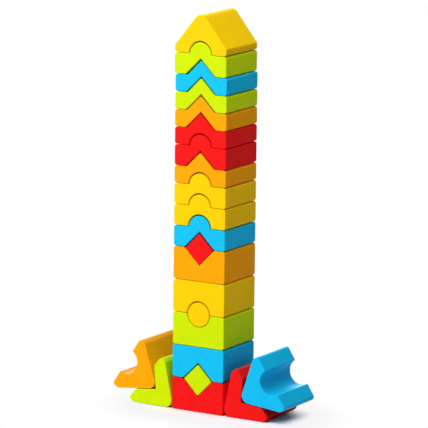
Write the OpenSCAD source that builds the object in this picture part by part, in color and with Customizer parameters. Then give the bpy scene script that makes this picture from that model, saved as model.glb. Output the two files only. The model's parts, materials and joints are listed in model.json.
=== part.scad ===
// Stacking tower of painted wooden blocks. Ridges, grooves and loose pegs keep the
// blocks in line, and each block lifts straight off the one below it. A pair of roof
// blocks leans on each side of the tower's foot.
// Seen from the front, +X is to the right, +Y to the back and +Z up. The origin is the
// middle of the base block's underside.

/* [Blocks] */
// Width of every block across its front
block_w = 61; // [52:1:80]
// Depth of every block, and length of every peg
block_d = 61; // [58:1:90]
// Height of the strip that the tower blocks are cut from, with any ridge
stock_h = 34; // [31:0.5:45]
// Rounding of the long outer edges of tower blocks
edge_r = 2.75; // [0.5:0.25:3.5]

/* [V joints] */
// Diagonal of a square peg, which lies on its edge in V grooves of 90 degrees
square_peg_diagonal = 33.4; // [23:0.2:38]
// How far a square peg drops below the middle of the two grooves that hold it
v_play = 0.7; // [0.3:0.1:1.5]
// Rounding of the edges of a square peg
square_peg_edge_r = 1.5; // [0.25:0.25:3]
// Rounding of the edge of a V ridge
ridge_r = 2.25; // [0.25:0.25:3]
// Rounding of the lips of a V groove
v_lip_r = 4; // [0.5:0.25:4.5]

/* [Round joints] */
// Diameter of a round peg, which lies in half-round grooves
round_peg_d = 25.6; // [18:0.2:30]
// How far a round peg drops below the middle of the two grooves that hold it
round_play = 0.5; // [0.3:0.1:1.5]
// Rounding of the lips of a half-round groove
round_lip_r = 1.5; // [0.5:0.25:3]

/* [Roof blocks] */
// Height of the upright sides below the slopes
eave_h = 7.4; // [5.6:0.1:12]
// Pitch of the slopes in degrees
roof_pitch = 51; // [47:0.5:55]
// Rounding of the corner between side and slope
eave_r = 3.5; // [0.5:0.25:4]
// Rounding of the long edges of the underside
roof_edge_r = 3.5; // [0.5:0.25:3.5]
// Rounding of the roof's tip
tip_r = 8; // [3:0.5:10]

/* [Clearances] */
// Gap between a loose piece and the slanted or round seat that it lies in
seat_gap = 0.1; // [0.05:0.05:0.3]
// Gap between the tower and the prop block on its left
left_gap = 0.1; // [0.1:0.1:0.9]
// Gap between the tower and the prop block on its right
right_gap = 0.9; // [0.1:0.1:0.9]

/* [Hidden] */
$fn = 96;

// A rounded corner of an outline is drawn with flats that turn no more than this each.
flat_angle = 10;

yellow = [1, 0.82, 0.03];
orange = [1, 0.6, 0.02];
red = [0.93, 0.1, 0.08];
lime = [0.76, 0.92, 0.04];
blue = [0.05, 0.72, 0.95];

// Half the diagonal of a square peg, and the depth of the V groove that holds it
square_peg_half = square_peg_diagonal / 2;
v_depth = square_peg_half + v_play;

// Radius of a round peg, and of the half-round groove that holds it
round_peg_r = round_peg_d / 2;
round_r = round_peg_r + round_play;

// A ridge is the upper part of a peg that lies in its groove.
v_rise = square_peg_half - v_play;
round_rise = round_peg_r - round_play;

// Heights of the bodies under a V ridge and under a half-round ridge
v_body = stock_h - v_rise;
round_body = stock_h - round_rise;

// Rise of each tower block from its underside to its shoulders, from the base up
rises = [
    stock_h, stock_h, stock_h, stock_h, stock_h,
    round_body, round_body, round_body, v_body, round_body,
    v_body, v_body, v_body, v_body, round_body
];
function level(n) = n == 0 ? 0 : level(n - 1) + rises[n - 1];

// The two topmost blocks sit to the left, within the side play of the V joint below them.
top_shift = -1.4 * v_play;

// The foot of a V ridge has a hollow rounding, tighter than the lips that lie over it.
v_foot_r = 0.75 * v_lip_r;

// The mouth of a half-round groove is drawn with straight sides before the round cut is
// made. The sides touch a circle that is a hair smaller than the cut, and end just past the
// point of touch, so that the cut runs smoothly on from the rounded lips.
hair = 0.01;
past_touch = 0.1;
mouth_r = round_r - hair;
mouth_lean = asin(round_lip_r / (mouth_r + round_lip_r));
mouth_h = mouth_r * sin(mouth_lean) + past_touch;
mouth_x = (mouth_r - mouth_h * sin(mouth_lean)) / cos(mouth_lean);
mouth_foot = mouth_r / cos(mouth_lean);

// Sharp peak of a roof block, and the centre of its rounded tip
peak_h = eave_h + block_w / 2 * tan(roof_pitch);
tip_h = peak_h - tip_r / cos(roof_pitch);

// Pitch of the sides of a V groove
v_pitch = 45;

// Outlines are lists of [x, z, r]: a corner and the radius that rounds it.
function along(from, to) = (to - from) / norm(to - from);
function corner(before, at, after, r) =
    let (
        a = along(at, before),
        b = along(at, after),
        half = acos(a * b) / 2,
        centre = at + (a + b) / norm(a + b) * r / sin(half),
        first = at + a * r / tan(half) - centre,
        last = at + b * r / tan(half) - centre,
        start = atan2(first.y, first.x),
        swing = atan2(first.x * last.y - first.y * last.x, first * last),
        flats = ceil(abs(swing) / flat_angle)
    )
    r == 0 ? [at] : [
        for (i = [0:flats])
            let (turn = start + swing * i / flats)
            centre + r * [cos(turn), sin(turn)]
    ];
function flat(p) = [p.x, p.y];
function rounded(path) = [
    for (i = [0:len(path) - 1])
        each corner(
            flat(path[(i + len(path) - 1) % len(path)]),
            flat(path[i]),
            flat(path[(i + 1) % len(path)]),
            path[i].z
        )
];

// The underside of a block, from left to right, with outer edges of radius r. A groove goes
// up into the block, and a ridge stands out of it.
function underside(kind, r) = concat(
    [[-block_w / 2, 0, r]],
    kind == "v_groove" ? [[-v_depth, 0, v_lip_r], [0, v_depth, 0], [v_depth, 0, v_lip_r]] :
    kind == "v_ridge" ? [[-v_rise, 0, v_foot_r], [0, -v_rise, ridge_r], [v_rise, 0, v_foot_r]] :
    kind == "round_groove" ? [
        [-mouth_foot, 0, round_lip_r], [-mouth_x, mouth_h, 0],
        [mouth_x, mouth_h, 0], [mouth_foot, 0, round_lip_r]
    ] : [],
    [[block_w / 2, 0, r]]
);

// The same face turned over, as the top of a block of height h
function top(kind, r, h) = [
    let (face = underside(kind, r))
    for (i = [1:len(face)])
        let (p = face[len(face) - i])
        [p.x, h - p.y, p.z]
];

// Outlines are drawn in X and Z and run through the whole depth of a piece.
module through_depth() {
    rotate([90, 0, 0])
        linear_extrude(block_d, center = true)
            children();
}

module half_disc(r) {
    intersection() {
        circle(r);
        translate([-r, 0])
            square([2 * r, r]);
    }
}

module tower_outline(h, below, above) {
    difference() {
        union() {
            polygon(rounded(concat(underside(below, edge_r), top(above, edge_r, h))));
            if (above == "round_ridge")
                translate([0, h - round_play])
                    half_disc(round_peg_r);
        }
        if (below == "round_groove")
            circle(round_r);
        if (above == "round_groove")
            translate([0, h])
                circle(round_r);
    }
}

module roof_outline(below) {
    slopes = [
        [block_w / 2, eave_h, eave_r],
        [0, peak_h, tip_r],
        [-block_w / 2, eave_h, eave_r]
    ];
    difference() {
        polygon(rounded(concat(underside(below, roof_edge_r), slopes)));
        if (below == "round_groove")
            circle(round_r);
    }
}

// Block n of the tower, counted from the base
module tower_block(n, below, above, shift = 0) {
    translate([shift, 0, level(n)])
        through_depth()
            tower_outline(rises[n], below, above);
}

// Pegs lie between block n and the block below it, and rest in the lower groove.
module square_peg(n) {
    edges = [
        for (a = [0:90:270])
            [square_peg_half * cos(a), square_peg_half * sin(a), square_peg_edge_r]
    ];
    translate([0, 0, level(n) - v_play + seat_gap])
        through_depth()
            polygon(rounded(edges));
}

module round_peg(n) {
    translate([0, 0, level(n) - round_play + seat_gap])
        through_depth()
            circle(round_peg_r);
}

// A roof block turned about the centre of its tip, which lies at the origin
module about_tip(angle) {
    rotate(angle)
        translate([0, -tip_h])
            children();
}

// On the right of the tower a prop block lies on one slope, with its tip towards the
// tower, and holds the tip of a roof block in its groove. The left side mirrors it.
module prop_place(gap) {
    translate([block_w / 2 + gap + tip_r, tip_r])
        about_tip(180 - roof_pitch)
            children();
}

module prop_block(gap) {
    through_depth()
        prop_place(gap)
            roof_outline("v_groove");
}

module leaning_roof_block(gap) {
    through_depth()
        prop_place(gap)
            translate([0, v_depth - (tip_r + seat_gap) / cos(v_pitch)])
                about_tip(v_pitch - roof_pitch)
                    roof_outline("round_groove");
}

module red_base_block() { color(red) tower_block(0, "flat", "v_groove"); }
module lime_square_peg() { color(lime) square_peg(1); }
module blue_v_cap_block() { color(blue) tower_block(1, "v_groove", "flat"); }
module lime_cradle_block() { color(lime) tower_block(2, "flat", "round_groove"); }
module yellow_round_peg() { color(yellow) round_peg(3); }
module yellow_arch_cap_block() { color(yellow) tower_block(3, "round_groove", "flat"); }
module orange_v_cradle_block() { color(orange) tower_block(4, "flat", "v_groove"); }
module red_square_peg() { color(red) square_peg(5); }
module blue_dome_block() { color(blue) tower_block(5, "v_groove", "round_ridge"); }
module yellow_arch_block_lower() { color(yellow) tower_block(6, "round_groove", "round_ridge"); }
module yellow_arch_block_upper() { color(yellow) tower_block(7, "round_groove", "round_ridge"); }
module orange_ridge_block() { color(orange) tower_block(8, "round_groove", "v_ridge"); }
module red_dome_block() { color(red) tower_block(9, "v_groove", "round_ridge"); }
module red_ridge_block() { color(red) tower_block(10, "round_groove", "v_ridge"); }
module orange_chevron_block() { color(orange) tower_block(11, "v_groove", "v_ridge"); }
module lime_chevron_block() { color(lime) tower_block(12, "v_groove", "v_ridge"); }
module blue_chevron_block() { color(blue) tower_block(13, "v_groove", "v_ridge"); }
module lime_dome_block() { color(lime) tower_block(14, "v_groove", "round_ridge", top_shift); }
module yellow_roof_block() {
    color(yellow)
        translate([top_shift, 0, level(15)])
            through_depth()
                roof_outline("round_groove");
}
module lime_prop_block_left() { color(lime) mirror([1, 0, 0]) prop_block(left_gap); }
module orange_roof_block_left() { color(orange) mirror([1, 0, 0]) leaning_roof_block(left_gap); }
module red_prop_block_right() { color(red) prop_block(right_gap); }
module blue_roof_block_right() { color(blue) leaning_roof_block(right_gap); }

red_base_block();
lime_square_peg();
blue_v_cap_block();
lime_cradle_block();
yellow_round_peg();
yellow_arch_cap_block();
orange_v_cradle_block();
red_square_peg();
blue_dome_block();
yellow_arch_block_lower();
yellow_arch_block_upper();
orange_ridge_block();
red_dome_block();
red_ridge_block();
orange_chevron_block();
lime_chevron_block();
blue_chevron_block();
lime_dome_block();
yellow_roof_block();
lime_prop_block_left();
orange_roof_block_left();
red_prop_block_right();
blue_roof_block_right();
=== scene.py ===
# %% [markdown]
# # A stacking tower of painted wooden blocks
# Wooden strips are shaped along their length with ridges and grooves, cut into blocks as
# deep as they are wide, sanded at the cut edges and dipped in bright paint. The frame holds
# every block as an exact solid with crisp cut edges. This lesson gives each one its sanded
# edges and its paint, and lights the tower as a studio would.

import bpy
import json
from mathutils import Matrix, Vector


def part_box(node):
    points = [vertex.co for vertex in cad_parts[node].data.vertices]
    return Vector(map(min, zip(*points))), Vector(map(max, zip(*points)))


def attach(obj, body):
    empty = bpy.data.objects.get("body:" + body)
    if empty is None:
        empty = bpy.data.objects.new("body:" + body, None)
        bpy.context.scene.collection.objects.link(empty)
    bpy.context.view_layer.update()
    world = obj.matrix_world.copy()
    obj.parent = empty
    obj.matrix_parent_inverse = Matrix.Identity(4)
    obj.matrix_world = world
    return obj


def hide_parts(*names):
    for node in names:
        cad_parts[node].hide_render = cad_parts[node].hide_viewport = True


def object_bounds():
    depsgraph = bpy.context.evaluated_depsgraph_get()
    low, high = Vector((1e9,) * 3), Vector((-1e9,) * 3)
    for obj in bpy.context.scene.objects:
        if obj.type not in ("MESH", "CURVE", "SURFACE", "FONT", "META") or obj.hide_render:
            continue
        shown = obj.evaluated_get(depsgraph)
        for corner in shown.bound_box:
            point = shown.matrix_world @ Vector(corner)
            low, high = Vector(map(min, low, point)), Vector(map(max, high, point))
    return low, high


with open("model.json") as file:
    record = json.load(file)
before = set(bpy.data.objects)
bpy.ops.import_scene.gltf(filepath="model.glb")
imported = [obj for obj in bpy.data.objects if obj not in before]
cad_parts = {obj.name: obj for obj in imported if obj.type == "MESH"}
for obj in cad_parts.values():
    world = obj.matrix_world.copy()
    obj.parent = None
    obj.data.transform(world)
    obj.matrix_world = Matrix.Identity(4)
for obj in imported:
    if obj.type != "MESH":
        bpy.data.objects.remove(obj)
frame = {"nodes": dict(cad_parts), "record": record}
cad_low, cad_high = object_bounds()
print("frame:", len(frame["nodes"]), "blocks and pegs,", round(cad_high.z, 3), "m tall")

# %% Tools of this lesson
import json
import math

import bmesh
import bpy
from mathutils import Matrix, Vector

scene = bpy.context.scene
MM = 0.001
print("Blender", bpy.app.version_string)

# %% [markdown]
# ## Sizes that the looks depend on
# The base block gives the depth of the strip's cut and the middle of that depth. Two things
# aren't in the frame. The cut edges are sanded by about a millimetre, just enough to take the
# sharpness off and to hold paint. And wood shrinks a hair across its grain as it dries, so fine
# dark seams show between blocks whose shoulders touch.

# %% Depth of a block, the sanding of its cut edges and the shrinking of its wood
base_low, base_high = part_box("red_base_block")
block_depth = base_high.y - base_low.y
middle_of_depth = (base_high.y + base_low.y) / 2
sanded_edge = 0.9 * MM
sanding_steps = 3
drying = 0.25 * MM
print("a block is", round(block_depth / MM, 1), "mm deep")

# %% [markdown]
# ## Paint on wood
# The paint is a thin satin coat in five colours. Under it the wood still shows a little: the
# grain runs along the strip, so it gives faint streaks on the sides and slopes and fine pores
# on the cut faces. One noise that is stretched along the strip makes both, because a streak
# seen from its end is a dot. A second, even noise is the fine peel of dried paint, and a third
# is the slow change in thickness of the coat. All three read Object coordinates, so they stay
# on the block from every side.

# %% A noise in the space of a block
grain_scale = (420, 16, 420)
peel_scale = (1100, 1100, 1100)
coat_scale = (45, 30, 45)
grain_detail = 4
peel_detail = 2
coat_detail = 3


def block_noise(tree, scale, detail):
    place = tree.nodes.new("ShaderNodeTexCoord")
    stretch = tree.nodes.new("ShaderNodeMapping")
    stretch.inputs["Scale"].default_value = scale
    noise = tree.nodes.new("ShaderNodeTexNoise")
    noise.inputs["Scale"].default_value = 1
    noise.inputs["Detail"].default_value = detail
    tree.links.new(place.outputs["Object"], stretch.inputs["Vector"])
    tree.links.new(stretch.outputs["Vector"], noise.inputs["Vector"])
    return noise.outputs["Fac"]


streak_width, streak_length = (round(1 / scale / MM, 1) for scale in grain_scale[:2])
print("grain: streaks about", streak_width, "mm wide and", streak_length, "mm long")

# %% A number spread over a range
usual_low = 0.3
usual_high = 0.7


def spread(tree, value, low, high):
    node = tree.nodes.new("ShaderNodeMapRange")
    node.inputs["From Min"].default_value = usual_low
    node.inputs["From Max"].default_value = usual_high
    node.inputs["To Min"].default_value = low
    node.inputs["To Max"].default_value = high
    tree.links.new(value, node.inputs["Value"])
    return node.outputs["Result"]


print("a noise usually lies between", usual_low, "and", usual_high)

# %% A bump that follows one noise and lies on top of another
grain_depth = 0.05 * MM
peel_depth = 0.012 * MM


def bump(tree, height, depth, below=None):
    node = tree.nodes.new("ShaderNodeBump")
    node.inputs["Strength"].default_value = 1
    node.inputs["Distance"].default_value = depth
    tree.links.new(height, node.inputs["Height"])
    if below:
        tree.links.new(below, node.inputs["Normal"])
    return node.outputs["Normal"]


print("relief of the grain:", round(grain_depth / MM, 3), "mm")
print("relief of the peel:", round(peel_depth / MM, 3), "mm")

# %% Painted wood in one colour
thin_coat = 1.03
thick_coat = 0.95
coat_in_tone = (0.1, 0.75)
grain_in_tone = 0.35
paint_roughness = (0.32, 0.44)
paint_gloss = 0.02


def painted_wood(name, colour):
    paint = bpy.data.materials.new(name)
    paint.use_nodes = True
    tree = paint.node_tree
    shader = tree.nodes["Principled BSDF"]
    grain = block_noise(tree, grain_scale, grain_detail)
    peel = block_noise(tree, peel_scale, peel_detail)
    coat = block_noise(tree, coat_scale, coat_detail)

    tone = tree.nodes.new("ShaderNodeMix")
    tone.data_type = "RGBA"
    tone.inputs["A"].default_value = [min(1, c * thick_coat) for c in colour] + [1]
    tone.inputs["B"].default_value = [min(1, c * thin_coat) for c in colour] + [1]
    both = tree.nodes.new("ShaderNodeMath")
    both.operation = "MULTIPLY_ADD"
    both.inputs[1].default_value = grain_in_tone
    tree.links.new(grain, both.inputs[0])
    tree.links.new(spread(tree, coat, *coat_in_tone), both.inputs[2])
    tree.links.new(both.outputs["Value"], tone.inputs["Factor"])
    tree.links.new(tone.outputs["Result"], shader.inputs["Base Color"])

    tree.links.new(spread(tree, grain, *paint_roughness), shader.inputs["Roughness"])
    relief = bump(tree, peel, peel_depth, bump(tree, grain, grain_depth))
    tree.links.new(relief, shader.inputs["Normal"])
    shader.inputs["Specular IOR Level"].default_value = paint_gloss
    return paint


print("the coat changes a colour by", thick_coat, "where thick and", thin_coat, "where thin")

# %% The five colours
paint_colours = {
    "yellow_paint": (1.0, 0.625, 0.002),
    "orange_paint": (1.0, 0.39, 0.002),
    "red_paint": (0.90, 0.010, 0.010),
    "lime_paint": (0.62, 0.82, 0.002),
    "blue_paint": (0.008, 0.53, 0.90),
}
paints = {slot: painted_wood(slot, colour) for slot, colour in paint_colours.items()}
print("paints:", ", ".join(paints))

# %% [markdown]
# ## The outline of a block
# Every block keeps one outline through its whole depth, because the strip was shaped along its
# length. The outline could be drawn again from its corners, but then it could drift away from
# the solid. Here it is cut from the solid itself, at the middle of its depth. The cut also
# crosses the diagonals of the solid's triangles, and those points in a straight stretch are
# taken out again. The wire lies flat in X and Y, as the curve tools expect it.

# %% Cut the outline of one block
touching = 0.001 * MM
straight = math.radians(0.5)


def cut_outline(node):
    solid = bmesh.new()
    solid.from_mesh(frame["nodes"][node].data)
    bmesh.ops.remove_doubles(solid, verts=solid.verts, dist=touching)
    everything = solid.verts[:] + solid.edges[:] + solid.faces[:]
    bmesh.ops.bisect_plane(
        solid,
        geom=everything,
        plane_co=(0, middle_of_depth, 0),
        plane_no=(0, 1, 0),
        clear_inner=True,
        clear_outer=True,
    )
    bmesh.ops.dissolve_limit(solid, angle_limit=straight, verts=solid.verts, edges=solid.edges)
    for point in solid.verts:
        point.co = (point.co.x, point.co.z, 0)
    wire = bpy.data.meshes.new(node + "_outline")
    solid.to_mesh(wire)
    solid.free()
    return wire


trial = cut_outline("blue_dome_block")
print("outline of blue_dome_block:", len(trial.vertices), "points,", len(trial.edges), "edges")
bpy.data.meshes.remove(trial)

# %% [markdown]
# ## From outline to block
# A small tree of Geometry Nodes repeats what the saw does. It fills the outline, pulls the
# filled face through the depth, closes the other end with the same face turned over, draws the
# sides in as drying wood does, and stands the block up. It also marks the edges of both cut
# faces, so that the sanding that follows works on them and leaves the shaped ridges and grooves
# alone.

# %% The tree and its named inputs
def add_node(tree, kind, **settings):
    node = tree.nodes.new(kind)
    for name, value in settings.items():
        setattr(node, name, value)
    return node


def add_input(tree, name, kind):
    return tree.interface.new_socket(name=name, in_out="INPUT", socket_type=kind)


saw = bpy.data.node_groups.new("saw_block", "GeometryNodeTree")
add_input(saw, "Outline", "NodeSocketGeometry")
depth_input = add_input(saw, "Depth", "NodeSocketFloat")
drying_input = add_input(saw, "Drying", "NodeSocketFloat")
middle_input = add_input(saw, "Middle", "NodeSocketFloat")
paint_input = add_input(saw, "Paint", "NodeSocketMaterial")
saw.interface.new_socket(name="Block", in_out="OUTPUT", socket_type="NodeSocketGeometry")
start = add_node(saw, "NodeGroupInput")
end = add_node(saw, "NodeGroupOutput")
print("inputs of saw_block:", ", ".join(socket.name for socket in start.outputs if socket.name))

# %% Fill the outline, pull it through the depth and close it
line = add_node(saw, "GeometryNodeMeshToCurve")
fill = add_node(saw, "GeometryNodeFillCurve", mode="NGONS")
pull = add_node(saw, "GeometryNodeExtrudeMesh", mode="FACES")
pull.inputs["Individual"].default_value = False
turn_over = add_node(saw, "GeometryNodeFlipFaces")
close = add_node(saw, "GeometryNodeJoinGeometry")
weld = add_node(saw, "GeometryNodeMergeByDistance")
weld.inputs["Distance"].default_value = touching
saw.links.new(start.outputs["Outline"], line.inputs["Mesh"])
saw.links.new(line.outputs["Curve"], fill.inputs["Curve"])
saw.links.new(fill.outputs["Mesh"], pull.inputs["Mesh"])
saw.links.new(start.outputs["Depth"], pull.inputs["Offset Scale"])
saw.links.new(fill.outputs["Mesh"], turn_over.inputs["Mesh"])
saw.links.new(pull.outputs["Mesh"], close.inputs["Geometry"])
saw.links.new(turn_over.outputs["Mesh"], close.inputs["Geometry"])
saw.links.new(close.outputs["Geometry"], weld.inputs["Geometry"])
print("saw_block so far:", len(saw.nodes), "nodes")

# %% Draw the sides in and leave the depth as it is
outward = add_node(saw, "GeometryNodeInputNormal")
inward = add_node(saw, "ShaderNodeVectorMath", operation="MULTIPLY")
inward.inputs[1].default_value = (-1, -1, 0)
drawn_in = add_node(saw, "ShaderNodeVectorMath", operation="SCALE")
dry = add_node(saw, "GeometryNodeSetPosition")
saw.links.new(outward.outputs["Normal"], inward.inputs[0])
saw.links.new(inward.outputs["Vector"], drawn_in.inputs["Vector"])
saw.links.new(start.outputs["Drying"], drawn_in.inputs["Scale"])
saw.links.new(weld.outputs["Geometry"], dry.inputs["Geometry"])
saw.links.new(drawn_in.outputs["Vector"], dry.inputs["Offset"])
print("sides drawn in by", round(drying / MM, 2), "mm")

# %% Mark the edges of the cut faces
ends_of_edge = add_node(saw, "GeometryNodeInputMeshEdgeVertices")
along_edge = add_node(saw, "ShaderNodeVectorMath", operation="SUBTRACT")
parts_of_edge = add_node(saw, "ShaderNodeSeparateXYZ")
level_edge = add_node(saw, "FunctionNodeCompare", data_type="FLOAT", operation="EQUAL")
level_edge.inputs["Epsilon"].default_value = touching
mark = add_node(saw, "GeometryNodeStoreNamedAttribute", data_type="FLOAT", domain="EDGE")
mark.inputs["Name"].default_value = "bevel_weight_edge"
saw.links.new(ends_of_edge.outputs["Position 1"], along_edge.inputs[0])
saw.links.new(ends_of_edge.outputs["Position 2"], along_edge.inputs[1])
saw.links.new(along_edge.outputs["Vector"], parts_of_edge.inputs["Vector"])
saw.links.new(parts_of_edge.outputs["Z"], level_edge.inputs["A"])
saw.links.new(dry.outputs["Geometry"], mark.inputs["Geometry"])
saw.links.new(level_edge.outputs["Result"], mark.inputs["Value"])
print("edges of the cut faces are marked in", mark.inputs["Name"].default_value)

# %% Smooth the block and keep its inner corners sharp
crease = math.radians(35)
smooth = add_node(saw, "GeometryNodeSetShadeSmooth")
turn_at_edge = add_node(saw, "GeometryNodeInputMeshEdgeAngle")
sharp_edge = add_node(saw, "FunctionNodeCompare", data_type="FLOAT", operation="GREATER_THAN")
sharp_edge.inputs["B"].default_value = crease
lengthwise = add_node(saw, "FunctionNodeBooleanMath", operation="NIMPLY")
corners = add_node(saw, "GeometryNodeSetShadeSmooth", domain="EDGE")
corners.inputs["Shade Smooth"].default_value = False
saw.links.new(turn_at_edge.outputs["Unsigned Angle"], sharp_edge.inputs["A"])
saw.links.new(sharp_edge.outputs["Result"], lengthwise.inputs[0])
saw.links.new(level_edge.outputs["Result"], lengthwise.inputs[1])
saw.links.new(lengthwise.outputs["Boolean"], corners.inputs["Selection"])
saw.links.new(mark.outputs["Geometry"], smooth.inputs["Geometry"])
saw.links.new(smooth.outputs["Geometry"], corners.inputs["Geometry"])
print("corners along the strip stay sharp above", round(math.degrees(crease)), "degrees")

# %% Stand the block up and give it its paint
half_depth = add_node(saw, "ShaderNodeMath", operation="MULTIPLY_ADD")
half_depth.inputs[1].default_value = 0.5
back_face = add_node(saw, "ShaderNodeCombineXYZ")
stand = add_node(saw, "GeometryNodeTransform")
stand.inputs["Rotation"].default_value = (math.radians(90), 0, 0)
real = add_node(saw, "GeometryNodeRealizeInstances")
coat_of_paint = add_node(saw, "GeometryNodeSetMaterial")
saw.links.new(start.outputs["Depth"], half_depth.inputs[0])
saw.links.new(start.outputs["Middle"], half_depth.inputs[2])
saw.links.new(half_depth.outputs["Value"], back_face.inputs["Y"])
saw.links.new(back_face.outputs["Vector"], stand.inputs["Translation"])
saw.links.new(corners.outputs["Geometry"], stand.inputs["Geometry"])
saw.links.new(stand.outputs["Geometry"], real.inputs["Geometry"])
saw.links.new(real.outputs["Geometry"], coat_of_paint.inputs["Geometry"])
saw.links.new(start.outputs["Paint"], coat_of_paint.inputs["Material"])
saw.links.new(coat_of_paint.outputs["Geometry"], end.inputs["Block"])
print("saw_block:", len(saw.nodes), "nodes")

# %% [markdown]
# ## Saw, sand and paint every block
# Each block runs through the tree, then a Bevel on the marked edges sands its cut faces. The
# large flat faces must stay flat in the light beside their round edges, so a Weighted Normal
# lets the larger face decide. The evaluated result becomes a plain mesh that sits at the
# origin, rides on the block's own body and stands for its solid.

# %% One finished block
def finished_block(node, slot):
    wire = cut_outline(node)
    rough = bpy.data.objects.new(node + "_rough", wire)
    scene.collection.objects.link(rough)
    sawn = rough.modifiers.new("saw", "NODES")
    sawn.node_group = saw
    sawn[depth_input.identifier] = block_depth
    sawn[drying_input.identifier] = drying
    sawn[middle_input.identifier] = middle_of_depth
    sawn[paint_input.identifier] = paints[slot]
    sanding = rough.modifiers.new("sanding", "BEVEL")
    sanding.limit_method = "WEIGHT"
    sanding.width = sanded_edge
    sanding.segments = sanding_steps
    sanding.use_clamp_overlap = False
    flat_faces = rough.modifiers.new("flat_faces", "WEIGHTED_NORMAL")
    flat_faces.keep_sharp = True

    seen = rough.evaluated_get(bpy.context.evaluated_depsgraph_get())
    shape = bpy.data.meshes.new_from_object(seen)
    bpy.data.objects.remove(rough)
    bpy.data.meshes.remove(wire)
    shape.name = node + "_painted"
    block = bpy.data.objects.new(node + "_painted", shape)
    scene.collection.objects.link(block)
    return block


print("sanding:", round(sanded_edge / MM, 1), "mm in", sanding_steps, "steps")

# %% All of them
slot_of = {part["node"]: part["material_slot"] for part in frame["record"]["subparts"]}
triangles = 0
for node, slot in slot_of.items():
    block = finished_block(node, slot)
    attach(block, node)
    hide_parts(node)
    triangles += sum(len(face.vertices) - 2 for face in block.data.polygons)
print("finished", len(slot_of), "pieces with", triangles, "triangles")

# %% [markdown]
# ## Floor
# The tower stands on a sheet of white paper. Close to the row of blocks the sheet is a real
# surface that takes their shadow. Further out the camera sees a painted shade, a faint grey glow
# around the foot that stands in for its soft shading, and then pure white, as in a picture whose
# background is cut out. All other light meets a greyer sheet, so that it sends a plain share of
# light back up to the blocks.

# %% Rays that see the white: from the camera, from a mirror and through glass
def seen_by_eye_or_mirror(tree):
    ray = add_node(tree, "ShaderNodeLightPath")
    eye = add_node(tree, "ShaderNodeMath", operation="MAXIMUM")
    mirror = add_node(tree, "ShaderNodeMath", operation="MAXIMUM")
    tree.links.new(ray.outputs["Is Glossy Ray"], mirror.inputs[0])
    tree.links.new(ray.outputs["Is Transmission Ray"], mirror.inputs[1])
    tree.links.new(ray.outputs["Is Camera Ray"], eye.inputs[0])
    tree.links.new(mirror.outputs["Value"], eye.inputs[1])
    return eye.outputs["Value"]


print("white is seen from the camera, from a mirror and through glass")

# %% Distance from the middle line of the shadow, and a fade over that distance
shadow_left = -0.03
shadow_right = 0.066
shadow_depth = -0.008


def away_from_shadow(tree):
    place = add_node(tree, "ShaderNodeTexCoord")
    centred = add_node(tree, "ShaderNodeVectorMath", operation="SUBTRACT")
    centred.inputs[1].default_value = ((shadow_left + shadow_right) / 2, shadow_depth, 0)
    size = add_node(tree, "ShaderNodeVectorMath", operation="ABSOLUTE")
    past = add_node(tree, "ShaderNodeVectorMath", operation="SUBTRACT")
    past.inputs[1].default_value = ((shadow_right - shadow_left) / 2, 0, 0)
    outside = add_node(tree, "ShaderNodeVectorMath", operation="MAXIMUM")
    away = add_node(tree, "ShaderNodeVectorMath", operation="LENGTH")
    tree.links.new(place.outputs["Object"], centred.inputs[0])
    tree.links.new(centred.outputs["Vector"], size.inputs[0])
    tree.links.new(size.outputs["Vector"], past.inputs[0])
    tree.links.new(past.outputs["Vector"], outside.inputs[0])
    tree.links.new(outside.outputs["Vector"], away.inputs[0])
    return away.outputs["Value"]


def faded(tree, value, first, last):
    fade = add_node(tree, "ShaderNodeMapRange", interpolation_type="SMOOTHSTEP")
    fade.inputs["From Min"].default_value = first
    fade.inputs["From Max"].default_value = last
    tree.links.new(value, fade.inputs["Value"])
    return fade.outputs["Result"]


print("middle line of the shadow:", round((shadow_right - shadow_left) / MM), "mm long")

# %% White paper that keeps the shadow, with a painted shade around it
grey_tone = (0.66, 0.65, 0.67, 1)
white_tone = (0.97, 0.95, 0.97, 1)
# painted shade: a faint grey glow around the foot that stands in for the soft shading there and
# fades to white
painted_shade_tone = (0.91, 0.89, 0.91, 1)
shadow_ends = (0.022, 0.055)
white_ends = (0.035, 0.1)


def studio_paper():
    paper = bpy.data.materials.new("white_paper_floor")
    paper.use_nodes = True
    tree = paper.node_tree
    tree.nodes.clear()
    away = away_from_shadow(tree)
    seen = seen_by_eye_or_mirror(tree)
    surface = add_node(tree, "ShaderNodeMix", data_type="RGBA")
    surface.inputs["A"].default_value = grey_tone
    surface.inputs["B"].default_value = white_tone
    shaded = add_node(tree, "ShaderNodeBsdfDiffuse")
    tone = add_node(tree, "ShaderNodeMix", data_type="RGBA")
    # painted shade near the foot, fading to white further out
    tone.inputs["A"].default_value = painted_shade_tone
    tone.inputs["B"].default_value = (1, 1, 1, 1)
    white = add_node(tree, "ShaderNodeEmission")
    share = add_node(tree, "ShaderNodeMath", operation="MULTIPLY")
    mix = add_node(tree, "ShaderNodeMixShader")
    out = add_node(tree, "ShaderNodeOutputMaterial")
    tree.links.new(seen, surface.inputs["Factor"])
    tree.links.new(surface.outputs["Result"], shaded.inputs["Color"])
    tree.links.new(faded(tree, away, *white_ends), tone.inputs["Factor"])
    tree.links.new(tone.outputs["Result"], white.inputs["Color"])
    tree.links.new(faded(tree, away, *shadow_ends), share.inputs[0])
    tree.links.new(seen, share.inputs[1])
    tree.links.new(share.outputs["Value"], mix.inputs["Fac"])
    tree.links.new(shaded.outputs["BSDF"], mix.inputs[1])
    tree.links.new(white.outputs["Emission"], mix.inputs[2])
    tree.links.new(mix.outputs["Shader"], out.inputs["Surface"])
    return paper


print("the shadow has faded out", round(shadow_ends[1] / MM), "mm from its middle line")

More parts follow.
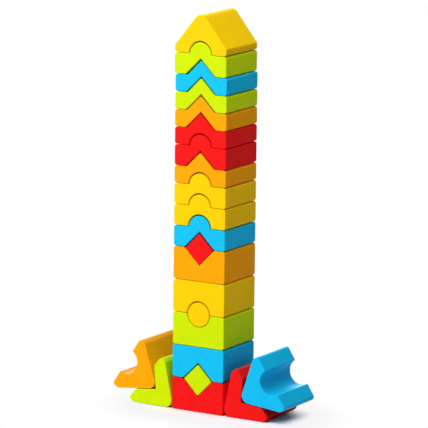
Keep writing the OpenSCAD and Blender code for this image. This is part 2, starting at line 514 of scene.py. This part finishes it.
# %% The sheet
floor_size = 24
half = floor_size / 2
sheet = bpy.data.meshes.new("floor")
sheet.from_pydata(
    [(-half, -half, 0), (half, -half, 0), (half, half, 0), (-half, half, 0)],
    [],
    [(0, 1, 2, 3)],
)
sheet.materials.append(studio_paper())
floor = bpy.data.objects.new("floor", sheet)
scene.collection.objects.link(floor)
print("floor:", floor_size, "m wide")

# %% [markdown]
# ## Light
# A large soft lamp stands to the front left, not far above the middle of the tower, and makes
# the front faces the brightest. A wider one hangs overhead, a little to the front and the
# right, for the slopes and the tops. A weaker one stands behind on the left: it keeps the backs
# from going dark and puts a glint into the open groove on that side. The room and the pale floor
# fill the right sides, which get about two fifths of the light on the fronts. Each lamp is set by
# its place and aimed at the middle of the tower.

# %% Lamps
aim = Vector((0, 0, cad_high.z / 2))


def soft_lamp(name, place, size, power):
    lamp = bpy.data.lights.new(name, "AREA")
    lamp.shape = "DISK"
    lamp.size = size
    lamp.energy = power
    lamp_object = bpy.data.objects.new(name, lamp)
    lamp_object.location = place
    lamp_object.rotation_euler = (aim - Vector(place)).to_track_quat("-Z", "Y").to_euler()
    scene.collection.objects.link(lamp_object)
    print(name, "at", place)


soft_lamp("front_left_lamp", place=(-0.9, -1.6, 0.55), size=0.9, power=21.3)
soft_lamp("overhead_lamp", place=(0.15, -0.4, 1.65), size=1.4, power=23.5)
soft_lamp("back_left_lamp", place=(-0.75, 1.3, 0.55), size=1.0, power=12)

# %% Room light
dim_room = 0.08
white_room = 1
room = bpy.data.worlds.new("white_room")
room.use_nodes = True
scene.world = room
room_tree = room.node_tree
room_light = room_tree.nodes["Background"]
room_level = add_node(room_tree, "ShaderNodeMapRange")
room_level.inputs["To Min"].default_value = dim_room
room_level.inputs["To Max"].default_value = white_room
room_light.inputs["Color"].default_value = (1, 1, 1, 1)
room_tree.links.new(seen_by_eye_or_mirror(room_tree), room_level.inputs["Value"])
room_tree.links.new(room_level.outputs["Result"], room_light.inputs["Strength"])
print("room:", dim_room, "for the light on the blocks and", white_room, "behind them")

# %% [markdown]
# ## Camera
# The view is a long lens from the right of the front and a little above, with the tower nearly
# filling the height of a square picture. The camera leans by less than a degree, as a camera on
# a tripod does. Its place is worked out from the angles and the distance, so it can be checked
# against a photograph one value at a time.

# %% Where the camera stands and how it is turned
azimuth = math.radians(30.96)
elevation = math.radians(11.03)
lean = math.radians(0.698)
distance = 4.0627
aim_height = 0.20093
side_step = -0.00102

back = Vector((
    math.sin(azimuth) * math.cos(elevation),
    -math.cos(azimuth) * math.cos(elevation),
    math.sin(elevation),
))
level_right = Vector((math.cos(azimuth), math.sin(azimuth), 0))
level_up = back.cross(level_right)
right = level_right * math.cos(lean) + level_up * math.sin(lean)
up = level_up * math.cos(lean) - level_right * math.sin(lean)
place = Vector((0, 0, aim_height)) + back * distance + right * side_step
axes = Matrix((right, up, back)).transposed()
print("camera:", round(place.length, 2), "m away,", round(place.z, 2), "m above the floor")

# %% The camera and its lens
focal_pixels = 4000
picture_pixels = 428
film_width = 36
lens = bpy.data.cameras.new("camera")
lens.sensor_width = film_width
lens.lens = film_width * (focal_pixels / picture_pixels)
camera = bpy.data.objects.new("camera", lens)
camera.matrix_world = Matrix.Translation(place) @ axes.to_4x4()
scene.collection.objects.link(camera)
scene.camera = camera
scene.view_settings.view_transform = "Standard"
print("lens:", round(lens.lens, 1), "mm")
